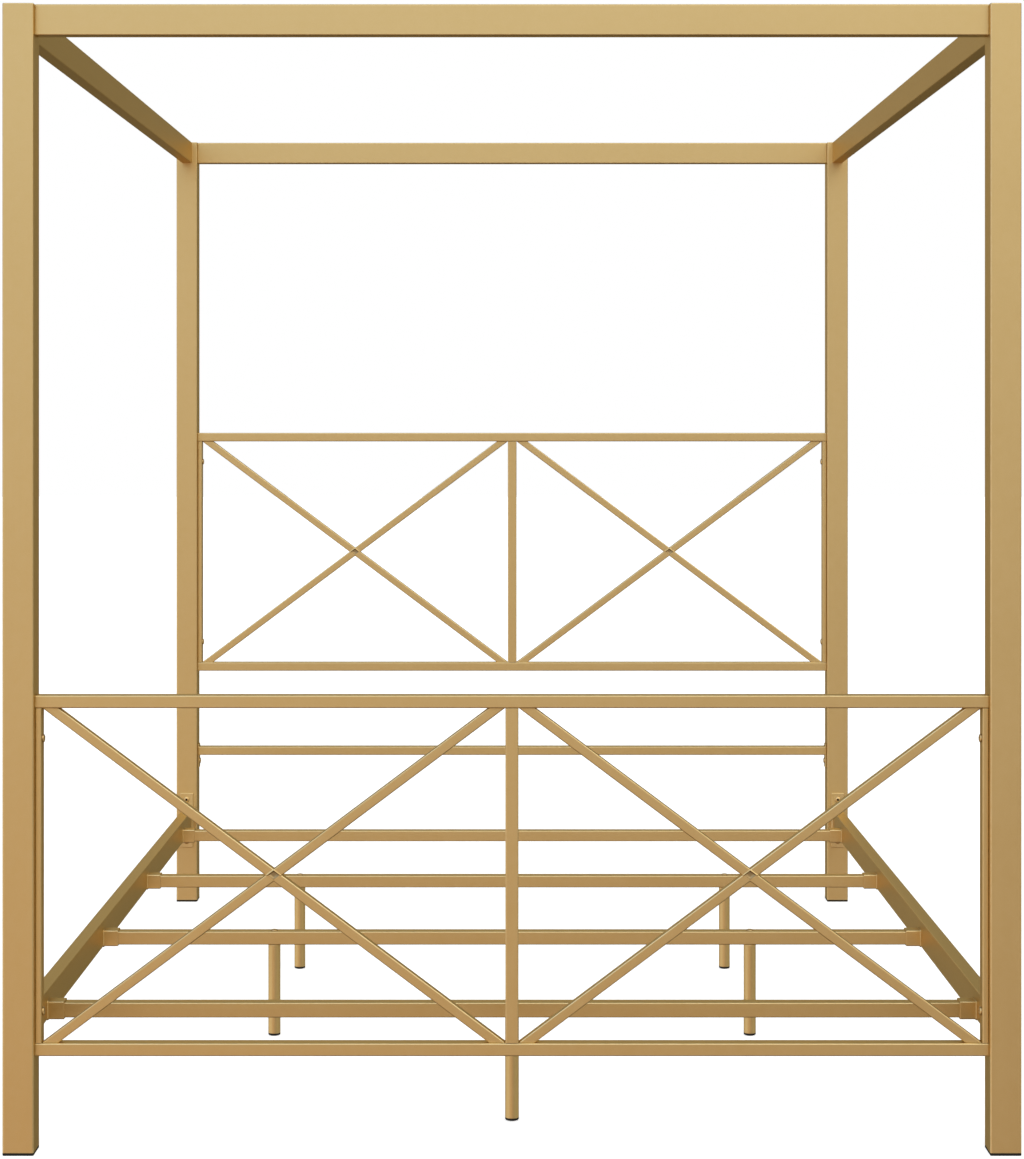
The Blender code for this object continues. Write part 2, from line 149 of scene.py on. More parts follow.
# Weld beads
PANEL_BEAD = 0.0011
RAIL_BEAD = 0.0017
FLANK_INSET = 0.001  # of the bead beside a brace's end, from the end's corner
FLANK_START = -0.3  # share of the brace's depth, from its middle
BACK_REACH = 0.9  # share of the brace's end that the bead at its back takes
CENTRE_START = -0.4  # of the bead round the centre bar, as a share of the bar's depth
BEAD_SIDES = 8
BEAD_STEP = 0.0006
BEAD_TIP = 0.35  # size of an open bead's ends
BEAD_GROWTH = 0.25  # gained with each step from there
RIPPLE = 0.13
RIPPLE_PITCH = 0.0021
NO_WELD_RUNS = (0.3, 0.5, 0.81)  # a direction that no weld runs along

POSTS = {(end, side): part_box(f"post_{end}_{side}") for end in ENDS for side in SIDES}
POST_X = sum(POSTS["front", "right"], Vector()).x / 2
POST_Y = sum(POSTS["rear", "right"], Vector()).y / 2
INNER_X = POSTS["front", "right"][0].x
INNER_Y = POSTS["rear", "right"][0].y


# Shader nodes

def link(tree, source, target):
    tree.links.new(source, target)


def sums(tree, operation, first, second):
    """An operation on two inputs, each a number or a socket."""
    node = tree.nodes.new("ShaderNodeMath")
    node.operation = operation
    for socket, value in zip(node.inputs, (first, second)):
        if isinstance(value, (int, float)):
            socket.default_value = value
        else:
            link(tree, value, socket)
    return node.outputs["Value"]


def vector_sums(tree, operation, first, second, out="Vector"):
    """A vector operation on two inputs, each a tuple or a socket."""
    node = tree.nodes.new("ShaderNodeVectorMath")
    node.operation = operation
    where = "Scale" if operation == "SCALE" else 1
    for socket, value in ((node.inputs[0], first), (node.inputs[where], second)):
        if isinstance(value, tuple):
            socket.default_value = value
        else:
            link(tree, value, socket)
    return node.outputs[out]


# Camera

def make_camera():
    lens = bpy.data.cameras.new("camera")
    camera = bpy.data.objects.new("camera", lens)
    bpy.context.scene.collection.objects.link(camera)
    camera.location = CAMERA_PLACE
    camera.rotation_euler = (math.pi / 2, 0, 0)
    lens.sensor_width = CAMERA_SENSOR
    lens.lens = CAMERA_LENS
    lens.shift_x, lens.shift_y = CAMERA_SHIFT
    lens.dof.use_dof = False
    bpy.context.scene.camera = camera


# Light: a white sweep that only the camera sees, and a studio of soft glows all round

# Where each glow lies, how tight it is, and its colour times its strength
GLOWS = {
    "overhead": ((0, 0, 1), 6, (0.16, 0.15, 0.11)),
    "high front": ((0, -0.4, 0.92), 10, (0.50, 0.49, 0.42)),
    "upper left front": ((-0.5, -0.62, 0.6), 6, (0.62, 0.88, 1.28)),
    "upper right front": ((0.5, -0.62, 0.6), 6, (1.27, 1.18, 0.84)),
    "high right": ((0.55, -0.4, 0.73), 14, (0.80, 0.85, 1.10)),
    "high left": ((-0.55, -0.4, 0.73), 14, (0.30, 0.34, 0.50)),
    "left of the camera": ((-0.45, -0.89, 0.05), 10, (0.36, 0.26, 0.02)),
    "above the camera": ((0, -0.9, 0.43), 14, (0.17, 0.20, 0.28)),
    "behind the camera": ((0, -1, 0.12), 10, (0.10, 0.16, 0.21)),
    "right of the camera": ((0.45, -0.89, 0.05), 10, (0.12, 0.05, 0.04)),
    "low front, to the left": ((-0.3, -0.85, -0.42), 10, (0.35, 0.11, 0.04)),
    "low front": ((0, -0.86, -0.51), 20, (0.28, 0.20, 0.08)),
    "underneath": ((0, -0.25, -0.97), 5, (0.03, 0.03, 0.04)),
    "left": ((-1, 0, 0), 6, (0.72, 0.59, 0.47)),
    "right": ((1, 0, 0), 6, (0.18, 0.15, 0.07)),
    "low left front": ((-0.82, -0.45, -0.38), 16, (0.62, 0.60, 0.54)),
    "low right front": ((0.78, -0.36, -0.51), 16, (0.50, 0.48, 0.42)),
    "low left rear": ((-0.82, 0.45, -0.38), 16, (0.62, 0.60, 0.54)),
    "low right rear": ((0.82, 0.45, -0.38), 16, (0.62, 0.60, 0.54)),
    "low rear": ((0, 0.93, -0.37), 10, (0.13, 0.11, 0.06)),
    "rear, to the left": ((-0.3, 0.94, 0.15), 20, (0.18, 0.17, 0.17)),
    "upper rear": ((0, 0.97, 0.25), 10, (0.45, 0.45, 0.39)),
}
WHITE = (1, 1, 1, 1)


def glow(tree, ray, place, tightness, colour):
    """Light that falls off smoothly round one direction."""
    toward = Vector(place).normalized().to_tuple()
    nearness = vector_sums(tree, "DOT_PRODUCT", ray, toward, "Value")
    falling = sums(tree, "MULTIPLY", sums(tree, "SUBTRACT", nearness, 1), tightness)
    strength = sums(tree, "POWER", math.e, falling)
    return vector_sums(tree, "SCALE", colour, strength)


def make_world():
    world = bpy.data.worlds.new("studio")
    bpy.context.scene.world = world
    world.use_nodes = True
    tree = world.node_tree
    tree.nodes.clear()
    ray = tree.nodes.new("ShaderNodeTexCoord").outputs["Generated"]
    light = (0.0, 0.0, 0.0)
    for place, tightness, colour in GLOWS.values():
        light = vector_sums(tree, "ADD", glow(tree, ray, place, tightness, colour), light)
    studio = tree.nodes.new("ShaderNodeBackground")
    sweep = tree.nodes.new("ShaderNodeBackground")
    sweep.inputs["Color"].default_value = WHITE
    path = tree.nodes.new("ShaderNodeLightPath")
    mix = tree.nodes.new("ShaderNodeMixShader")
    output = tree.nodes.new("ShaderNodeOutputWorld")
    link(tree, light, studio.inputs["Color"])
    link(tree, path.outputs["Is Camera Ray"], mix.inputs["Fac"])
    link(tree, studio.outputs["Background"], mix.inputs[1])
    link(tree, sweep.outputs["Background"], mix.inputs[2])
    link(tree, mix.outputs["Shader"], output.inputs["Surface"])


def make_floor():
    reach = 30
    mesh = bmesh.new()
    ways = ((-1, -1), (1, -1), (1, 1), (-1, 1))
    mesh.faces.new([mesh.verts.new((reach * x, reach * y, 0)) for x, y in ways])
    floor = new_object("floor", mesh)
    material, shader, _ = new_material("pale floor")
    shader.inputs["Base Color"].default_value = (0.86, 0.86, 0.85, 1)
    shader.inputs["Roughness"].default_value = 0.9
    shader.inputs["Emission Color"].default_value = WHITE
    shader.inputs["Emission Strength"].default_value = 0.70
    floor.data.materials.append(material)
    floor.visible_diffuse = False
    floor.visible_glossy = False


# Finishes

NOISE_SPAN = 40  # how far apart the noise on two pieces can lie


def new_material(name):
    material = bpy.data.materials.new(name)
    material.use_nodes = True
    tree = material.node_tree
    return material, tree.nodes["Principled BSDF"], tree


def noise(tree, scale, detail, stretch=(1, 1, 1)):
    """Noise from 0 to 1 over the piece's own coordinates, and different on each piece."""
    place = tree.nodes.new("ShaderNodeTexCoord")
    info = tree.nodes.new("ShaderNodeObjectInfo")
    shift = tree.nodes.new("ShaderNodeMath")
    shift.operation = "MULTIPLY"
    shift.inputs[1].default_value = NOISE_SPAN
    mapping = tree.nodes.new("ShaderNodeMapping")
    mapping.inputs["Scale"].default_value = stretch
    texture = tree.nodes.new("ShaderNodeTexNoise")
    texture.noise_dimensions = "4D"
    texture.inputs["Scale"].default_value = scale
    texture.inputs["Detail"].default_value = detail
    link(tree, place.outputs["Object"], mapping.inputs["Vector"])
    link(tree, mapping.outputs["Vector"], texture.inputs["Vector"])
    link(tree, info.outputs["Random"], shift.inputs[0])
    link(tree, shift.outputs["Value"], texture.inputs["W"])
    return texture.outputs["Fac"]


def spread(tree, value, low, high, near=0.3, far=0.7):
    """The value's range near to far, moved to low to high and held there."""
    ramp = tree.nodes.new("ShaderNodeMapRange")
    ramp.inputs["From Min"].default_value = near
    ramp.inputs["From Max"].default_value = far
    ramp.inputs["To Min"].default_value = low
    ramp.inputs["To Max"].default_value = high
    link(tree, value, ramp.inputs["Value"])
    return ramp.outputs["Result"]


def blend(tree, amount, first, second):
    """A colour between two, each a tuple or a socket."""
    mix = tree.nodes.new("ShaderNodeMix")
    mix.data_type = "RGBA"
    link(tree, amount, mix.inputs["Factor"])
    for name, colour in (("A", first), ("B", second)):
        socket = [s for s in mix.inputs if s.name == name and s.type == "RGBA"][0]
        if isinstance(colour, tuple):
            socket.default_value = (*colour, 1)
        else:
            link(tree, colour, socket)
    return [s for s in mix.outputs if s.type == "RGBA"][0]


def edge_wear_and_highlight(tree, low, high):
    """How much the edges are rubbed through and lit by a painted highlight, broken up by noise,
    where the edge attribute is above 0.
    """
    edge = tree.nodes.new("ShaderNodeAttribute")
    edge.attribute_name = "edge"
    patches = spread(tree, noise(tree, scale=160, detail=3), low, high)
    return sums(tree, "MULTIPLY", sums(tree, "MAXIMUM", edge.outputs["Fac"], 0), patches)


def painted_recess_shade(tree):
    """How much shade is painted in where the edge attribute is below 0, down pressed crossings and
    bolt sockets.
    """
    edge = tree.nodes.new("ShaderNodeAttribute")
    edge.attribute_name = "edge"
    return spread(tree, edge.outputs["Fac"], 1, 0, -1, 0)


def bumps(tree, shader, waves):
    """Stacks bumps, each a height, a strength and a depth in metres, on the shader's normal."""
    normal = None
    for height, strength, depth in waves:
        bump = tree.nodes.new("ShaderNodeBump")
        bump.inputs["Strength"].default_value = strength
        bump.inputs["Distance"].default_value = depth
        link(tree, height, bump.inputs["Height"])
        if normal:
            link(tree, normal, bump.inputs["Normal"])
        normal = bump.outputs["Normal"]
    link(tree, normal, shader.inputs["Normal"])


BRIGHT_GOLD = (0.90, 0.72, 0.42)  # flakes, and rubbed edges with a painted highlight
PAINTED_POCKET_SHADE = (0.27, 0.17, 0.08)  # painted shade down in a pressed crossing
GOLD_GLANCE = (0.80, 0.64, 0.38, 1)
BOLT_LIGHT = (0.84, 0.60, 0.28)
BOLT_DEEP = (0.74, 0.50, 0.21)
# rubbed bolt edges with a painted highlight
BRIGHT_ZINC = (0.90, 0.72, 0.44)
PAINTED_SOCKET_SHADE = (0.05, 0.03, 0.012)  # painted shade at the bottom of a bolt's socket
BLACK = (0.006, 0.006, 0.006)
GREY_BLACK = (0.012, 0.012, 0.011)
SCUFFED = (0.035, 0.034, 0.032)


def gold_coat(name, colour, deep, roughness, peel, streaks):
    """Satin gold: drifting tone, flakes, orange peel, drawn streaks, thinner coat and a painted
    highlight on edges, and painted shade in pressed crossings.
    """
    material, shader, tree = new_material(name)
    drift = spread(tree, noise(tree, scale=5, detail=3), 0, 1)
    mottle = spread(tree, noise(tree, scale=70, detail=4), 0, 1)
    flake = noise(tree, scale=2400, detail=1)
    tone = blend(tree, drift, colour, deep)
    mottled = blend(tree, spread(tree, mottle, 0, 0.10, near=0, far=1), tone, BRIGHT_GOLD)
    shining = spread(tree, flake, 0, 0.35, near=0.52, far=0.72)
    flaked = blend(tree, shining, mottled, BRIGHT_GOLD)
    # rubbed edges, lighter also as a painted highlight
    rubbed_and_highlit = edge_wear_and_highlight(tree, 0.15, 0.75)
    edge_tint = blend(tree, rubbed_and_highlit, flaked, BRIGHT_GOLD)
    # painted shade in pressed crossings, where the edge value is below 0
    link(tree, blend(tree, painted_recess_shade(tree), edge_tint, PAINTED_POCKET_SHADE), shader.inputs["Base Color"])
    drawn = noise(tree, scale=260, detail=2, stretch=(1, 1, 0.015))
    clouded = spread(tree, mottle, roughness - 0.01, roughness + 0.015, near=0, far=1)
    rough = sums(tree, "ADD", clouded, spread(tree, drawn, -0.02, 0.02))
    rough = sums(tree, "ADD", rough, spread(tree, flake, -0.03, 0.03))
    rough = sums(tree, "SUBTRACT", rough, sums(tree, "MULTIPLY", rubbed_and_highlit, 0.10))
    link(tree, rough, shader.inputs["Roughness"])
    shader.inputs["Metallic"].default_value = 0.94
    shader.inputs["Specular Tint"].default_value = GOLD_GLANCE
    shader.inputs["Coat Weight"].default_value = 0.03
    shader.inputs["Coat Roughness"].default_value = 0.30
    bumps(tree, shader, [(noise(tree, scale=330, detail=2), peel, 0.00012),
                         (flake, 0.10, 0.00003),
                         (drawn, streaks, 0.00003)])
    return material


def bolt_finish(name):
    """Lacquered zinc: glossier than the coat, with turning rings round the bolt's axis."""
    material, shader, tree = new_material(name)
    place = tree.nodes.new("ShaderNodeTexCoord")
    rings = tree.nodes.new("ShaderNodeTexWave")
    rings.wave_type = "RINGS"
    rings.rings_direction = "Z"
    rings.inputs["Scale"].default_value = 900
    rings.inputs["Distortion"].default_value = 1.5
    rings.inputs["Detail"].default_value = 2
    link(tree, place.outputs["Object"], rings.inputs["Vector"])
    mottle = noise(tree, scale=600, detail=4)
    tone = blend(tree, spread(tree, mottle, 0, 1), BOLT_LIGHT, BOLT_DEEP)
    # rubbed edges with a painted highlight
    edge_tint = blend(tree, edge_wear_and_highlight(tree, 0.3, 0.9), tone, BRIGHT_ZINC)
    # painted shade down the hexagon socket, where the edge value is below 0
    link(tree, blend(tree, painted_recess_shade(tree), edge_tint, PAINTED_SOCKET_SHADE), shader.inputs["Base Color"])
    link(tree, spread(tree, mottle, 0.26, 0.40), shader.inputs["Roughness"])
    shader.inputs["Metallic"].default_value = 0.95
    bumps(tree, shader, [(rings.outputs["Fac"], 0.10, 0.00002), (mottle, 0.15, 0.00004)])
    return material


def foot_finish(name):
    """Black moulded polyethylene: fine matt grain, faint greying where it is scuffed."""
    material, shader, tree = new_material(name)
    grain = noise(tree, scale=2200, detail=3)
    cloud = noise(tree, scale=60, detail=3)
    tone = blend(tree, spread(tree, cloud, 0, 1), BLACK, GREY_BLACK)
    scuffed = blend(tree, edge_wear_and_highlight(tree, 0, 0.5), tone, SCUFFED)
    link(tree, scuffed, shader.inputs["Base Color"])
    link(tree, spread(tree, cloud, 0.50, 0.68), shader.inputs["Roughness"])
    shader.inputs["Specular IOR Level"].default_value = 0.35
    bumps(tree, shader, [(grain, 0.35, 0.00006), (cloud, 0.10, 0.0002)])
    return material


# Meshes

def rounded(wide, tall, corner, columns=1):
    """A rounded rectangle about (0, 0) as (x, y, edge).

    edge is 1 midway round a corner and 0 on a flat. The flat towards -Y has this many columns.
    """
    points = []
    for quarter, (right, up) in enumerate(((1, 1), (-1, 1), (-1, -1), (1, -1))):
        for step in range(CORNER_STEPS + 1):
            turn = step / CORNER_STEPS
            angle = math.radians(90 * (quarter + turn))
            x = right * (wide / 2 - corner) + corner * math.cos(angle)
            y = up * (tall / 2 - corner) + corner * math.sin(angle)
            points.append((x, y, math.sin(math.pi * turn)))
        if quarter == 2:
            flat = wide - 2 * corner
            points += [(flat * (i / columns - 0.5), -tall / 2, 0) for i in range(1, columns)]
    return points


def round_outline(radius, sides, edge_tint=0):
    turns = [math.tau * i / sides for i in range(sides)]
    return [(radius * math.cos(a), radius * math.sin(a), edge_tint) for a in turns]


def hexagon(flats, edge_tint=0):
    points = []
    for i in range(BOLT_SIDES):
        turn = math.tau * i / BOLT_SIDES
        from_middle = (turn + math.pi / 6) % (math.pi / 3) - math.pi / 6
        radius = flats / 2 / math.cos(from_middle)
        points.append((radius * math.cos(turn), radius * math.sin(turn), edge_tint))
    return points


def level(outline, z):
    """The outline as a ring at height z: points, each with its edge value."""
    return [(Vector((x, y, z)), edge) for x, y, edge in outline]


def square_ring(shape, z, inset=0.0, edge_tint=0.0):
    wide, tall, corner = shape
    outline = rounded(wide - 2 * inset, tall - 2 * inset, max(corner - inset, RIM / 2))
    return [(point, max(edge, edge_tint)) for point, edge in level(outline, z)]


def rim(shape, z, out, radius, steps=3):
    """Rings round an end's edge, from its flat face at z to its sides. out is 1 if it faces up."""
    rings = []
    for step in range(steps + 1):
        turn = math.pi / 2 * step / steps
        inset = radius * (1 - math.sin(turn))
        height = z - out * radius * (1 - math.cos(turn))
        rings.append(square_ring(shape, height, inset, math.sin(2 * turn)))
    return rings


def solid(rings, ends_meet=False):
    """One closed mesh through the rings. The last joins the first, or both get a cap."""
    mesh = bmesh.new()
    layer = mesh.verts.layers.float.new("edge")
    loops = []
    for ring in rings:
        loop = [mesh.verts.new(point) for point, _ in ring]
        for vert, (_, edge) in zip(loop, ring):
            vert[layer] = edge
        loops.append(loop)
    pairs = list(zip(loops, loops[1:]))
    if ends_meet:
        pairs.append((loops[-1], loops[0]))
    else:
        mesh.faces.new(loops[0])
        mesh.faces.new(loops[-1])
    for low, high in pairs:
        for i in range(len(low)):
            j = (i + 1) % len(low)
            mesh.faces.new((low[i], low[j], high[j], high[i]))
    bmesh.ops.recalc_face_normals(mesh, faces=mesh.faces)
    return mesh


def tube(wide, tall, length, wall, corner=TUBE_CORNER, rim_radius=RIM):
    """Rounded square tube along local Z, its open ends with softly rounded rims."""
    shape = (wide, tall, corner)
    hollow = (wide - 2 * wall, tall - 2 * wall, corner - wall)
    half = length / 2
    rings = [square_ring(hollow, -half)]
    rings += rim(shape, -half, -1, rim_radius)
    rings += reversed(rim(shape, half, 1, rim_radius))
    rings.append(square_ring(hollow, half))
    return solid(rings, ends_meet=True)


def joined(meshes):
    gathered = bmesh.new()
    gathered.verts.layers.float.new("edge")
    for mesh in meshes:
        scratch = bpy.data.meshes.new("scratch")
        mesh.to_mesh(scratch)
        mesh.free()
        gathered.from_mesh(scratch)
        bpy.data.meshes.remove(scratch)
    return gathered


def turned_to(direction):
    """The rotation that takes local Z to the direction, and local Y up if that is level."""
    x, y, _ = direction
    if x:
        return Matrix(((0, 0, x), (x, 0, 0), (0, 1, 0)))
    if y:
        return Matrix(((-y, 0, 0), (0, 0, y), (0, 1, 0)))
    return Matrix.Identity(3)


def new_object(name, mesh, location=(0, 0, 0), direction=(0, 0, 1)):
    data = bpy.data.meshes.new(name)
    mesh.to_mesh(data)
    mesh.free()
    thing = bpy.data.objects.new(name, data)
    bpy.context.scene.collection.objects.link(thing)
    thing.matrix_world = Matrix.Translation(location) @ turned_to(direction).to_4x4()
    return thing


def finished(thing, slot, *nodes):
    """Shades and coats the piece, hangs it on the root, and hides the frame parts it stands for.
    """
    thing.data.shade_smooth()
    thing.data.set_sharp_from_angle(angle=SHARP_FROM)
    shading = thing.modifiers.new("even shading", "WEIGHTED_NORMAL")
    shading.keep_sharp = True
    thing.data.materials.clear()
    thing.data.materials.append(FINISHES[slot])
    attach(thing, "root")
    if nodes:
        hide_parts(*nodes)
    return thing


def middle_and_size(node):
    low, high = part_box(node)
    return (low + high) / 2, high - low


def straight_tube(node, along, wall, corner=TUBE_CORNER):
    """A finely rounded tube in place of a frame tube that runs along X, Y or Z."""
    middle, size = middle_and_size(node)
    direction = Vector([axis == along for axis in "XYZ"])
    wide, tall, length = {"X": (size.y, size.z, size.x), "Y": (size.x, size.z, size.y),
                          "Z": (size.x, size.y, size.z)}[along]
    thing = new_object(f"{node}_tube", tube(wide, tall, length, wall, corner), middle, direction)
    return finished(thing, "gold_tube", node)


# Welds

def bead(points, radius, closed=False):
    """A rippled weld bead along the points, tapered at its ends unless it is closed."""
    path = evenly(points, BEAD_STEP, closed)
    count = len(path)
    rings = []
    for i, point in enumerate(path):
        before = path[i - 1] if i or closed else path[0]
        after = path[(i + 1) % count] if closed or i < count - 1 else path[-1]
        along = (after - before).normalized()
        up = Vector(NO_WELD_RUNS).cross(along).normalized()
        side = along.cross(up)
        ripple = 1 + RIPPLE * math.sin(math.tau * i * BEAD_STEP / RIPPLE_PITCH)
        taper = 1 if closed else min(1, BEAD_TIP + BEAD_GROWTH * min(i, count - 1 - i))
        size = radius * ripple * taper
        turns = [math.tau * k / BEAD_SIDES for k in range(BEAD_SIDES)]
        rings.append([(point + size * (math.cos(a) * side + math.sin(a) * up), BEAD_WEAR)
                      for a in turns])
    return solid(rings, ends_meet=closed)


def evenly(points, step, closed):
    """Points a step apart along the line through the given ones."""
    line = [Vector(p) for p in points]
    if closed:
        line.append(line[0])
    made = []
    left = 0.0
    for start, stop in zip(line, line[1:]):
        long = (stop - start).length
        while left < long:
            made.append(start.lerp(stop, left / long))
            left += step
        left -= long
    return made


def outline_behind(middle, wide, tall, front):
    """A tube's level outline about the middle, open where its y is no more than front."""
    points = [(x, y) for x, y, _ in rounded(wide, tall, TUBE_CORNER)]
    first = len(points) * 3 // 4  # at the right end of the front, so what is kept is one run
    points = points[first:] + points[:first]
    return [middle + Vector((x, y, 0)) for x, y in points if y > front]


# Posts and feet

def make_post(end, side):
    name = f"post_{end}_{side}"
    middle, size = middle_and_size(name)
    low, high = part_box(name)
    shape = (size.x, size.y, POST_CORNER)
    hollow = (size.x - 2 * POST_WALL, size.y - 2 * POST_WALL, POST_CORNER - POST_WALL)
    rings = [square_ring(hollow, high.z - 2 * POST_WALL), square_ring(hollow, low.z)]
    rings += rim(shape, low.z, -1, RIM)
    rings += reversed(rim(shape, high.z, 1, POST_TOP, POST_TOP_STEPS))
    thing = new_object(f"{name}_tube", solid(rings), (middle.x, middle.y, 0))
    finished(thing, "gold_tube", name)


def make_post_foot(end, side):
    name = f"post_foot_{end}_{side}"
    middle, size = middle_and_size(name)
    rim_top = POSTS[end, side][0].z - GAP
    shape = (size.x, size.y, POST_CORNER)
    plug_wide = size.x - 2 * POST_WALL - 2 * GAP
    hollow_wide = plug_wide - 2 * PLUG_WALL
    plug = (plug_wide, plug_wide, POST_CORNER - POST_WALL)
    hollow = (hollow_wide, hollow_wide, POST_CORNER - POST_WALL)
    rings = rim(shape, 0, -1, SOLE_ROUND)
    rings += reversed(rim(shape, rim_top, 1, FOOT_TOP_ROUND, 1))
    rings += [square_ring(plug, rim_top), square_ring(plug, size.z - PLUG_LEAD_IN),
              square_ring(plug, size.z, PLUG_LEAD_INSET),
              square_ring(hollow, size.z), square_ring(hollow, rim_top)]
    thing = new_object(f"{name}_plug", solid(rings), (middle.x, middle.y, 0))
    finished(thing, "black_foot", name)


# Canopy

def make_canopy_rails():
    for end in ENDS:
        node = f"canopy_rail_{end}"
        middle, size = middle_and_size(node)
        mesh = tube(size.y, size.z, 2 * (INNER_X - GAP), RAIL_WALL)
        finished(new_object(f"{node}_tube", mesh, middle, (1, 0, 0)), "gold_tube", node)
    for side in SIDES:
        node = f"canopy_rail_{side}"
        middle, size = middle_and_size(node)
        mesh = tube(size.x, size.z, 2 * (INNER_Y - GAP), RAIL_WALL)
        finished(new_object(f"{node}_tube", mesh, middle, (0, 1, 0)), "gold_tube", node)


# Side rails with sockets and plates, and the slats between them

def slat_places():
    return {number: middle_and_size(f"slat_{number}") for number in (1, 2, 3, 4)}


def make_side_rail(side, sign):
    node = f"side_rail_{side}"
    low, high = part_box(node)
    thick = middle_and_size("canopy_rail_left")[1].x
    face = POST_X - thick / 2
    length = high.y - low.y
    middle_z = (low.z + high.z) / 2
    rail = new_object(f"{node}_tube", tube(thick, high.z - low.z, length, RAIL_WALL),
                      (sign * POST_X, 0, middle_z), (0, 1, 0))
    finished(rail, "gold_tube", node)
    mouth = min(abs(low.x), abs(high.x))
    beads = []
    for number, (middle, size) in slat_places().items():
        outside = size.z + 2 * (GAP + SOCKET_WALL)
        long = face - mouth
        mesh = tube(outside, outside, long, SOCKET_WALL, SOCKET_WALL, SOCKET_RIM)
        place = (sign * (mouth + long / 2), middle.y, middle.z)
        socket = new_object(f"{node}_socket_{number}", mesh, place, (1, 0, 0))
        finished(socket, "gold_tube")
        around = [Vector((sign * face, middle.y + u, middle.z + v))
                  for u, v, _ in rounded(outside, outside, SOCKET_WALL)]
        beads.append(bead(around, RAIL_BEAD, closed=True))
    for end in (-1, 1):
        around = [Vector((sign * POST_X + u, end * length / 2, middle_z + v))
                  for u, v, _ in rounded(thick, high.z - low.z, TUBE_CORNER)]
        beads.append(bead(around, RAIL_BEAD, closed=True))
    welds = new_object(f"{node}_welds", joined(beads))
    finished(welds, "gold_tube")


def flat_plate(shape):
    """A flat plate on local Z from 0 up, its edges rounded."""
    rings = rim(shape, 0, -1, PLATE_ROUND)
    rings += reversed(rim(shape, PLATE_THICK, 1, PLATE_ROUND))
    return solid(rings)


def make_rail_plate(end, end_sign, side):
    node = f"rail_plate_{end}_{side}"
    middle, size = middle_and_size(node)
    mesh = flat_plate((size.x, size.z, PLATE_CORNER))
    face_y = end_sign * (INNER_Y - GAP)
    inward = (0, -end_sign, 0)
    plate = new_object(f"{node}_steel", mesh, (middle.x, face_y, middle.z), inward)
    finished(plate, "gold_plate", node)
    grip = PLATE_THICK + 2 * GAP + POST_WALL
    for word, rise in (("lower", -PLATE_BOLT_RISE), ("upper", PLATE_BOLT_RISE)):
        place = (middle.x, face_y - end_sign * PLATE_THICK, middle.z + rise)
        bolt = new_object(f"{node}_{word}_bolt", bolt_mesh(grip), place, inward)
        finished(bolt, "gold_bolt")


def make_slats():
    for number in (1, 2, 3, 4):
        straight_tube(f"slat_{number}", "X", BAR_WALL)


# Bolts

def bolt_mesh(grip):
    """A domed hexagon socket bolt along local Z, its head's underside at 0, with its nut."""
    shank = round_outline(SHANK_RADIUS, BOLT_SIDES)
    rings = [level(hexagon(NUT_FLATS), -grip - NUT_TALL), level(hexagon(NUT_FLATS), -grip),
             level(shank, -grip), level(shank, 0)]
    rings.append(level(round_outline(HEAD_RADIUS - HEAD_BEVEL, BOLT_SIDES), 0))
    rings.append(level(round_outline(HEAD_RADIUS, BOLT_SIDES, HEAD_WEAR_AND_HIGHLIGHT), HEAD_BEVEL))
    rings.append(level(round_outline(HEAD_RADIUS, BOLT_SIDES, HEAD_WEAR_AND_HIGHLIGHT), HEAD_EDGE))
    lip = HEX_FLATS / 2 * HEX_LIP
    for step in range(1, DOME_STEPS + 1):
        turn = math.pi / 2 * step / DOME_STEPS
        radius = lip + (HEAD_RADIUS - lip) * math.cos(turn)
        z = HEAD_EDGE + (HEAD_TALL - HEAD_EDGE) * math.sin(turn)
        rings.append(level(round_outline(radius, BOLT_SIDES, DOME_WEAR_AND_HIGHLIGHT), z))
    rings.append(level(hexagon(HEX_FLATS + HEX_BEVEL, HEX_LIP_WEAR_AND_HIGHLIGHT), HEAD_TALL - HEX_BEVEL / 6))
    rings.append(level(hexagon(HEX_FLATS, HEX_SHADE), HEAD_TALL - HEX_BEVEL))
    floor_z = HEAD_TALL - HEX_DEEP
    # painted shade, deepest at the socket's bottom
    rings.append(level(hexagon(HEX_FLATS, DEEPEST_PAINTED_SHADE), floor_z))
    rings.append(level(round_outline(HEX_TIP, BOLT_SIDES, DEEPEST_PAINTED_SHADE), floor_z - HEX_CONE))
    return solid(rings)


# Legs and their feet

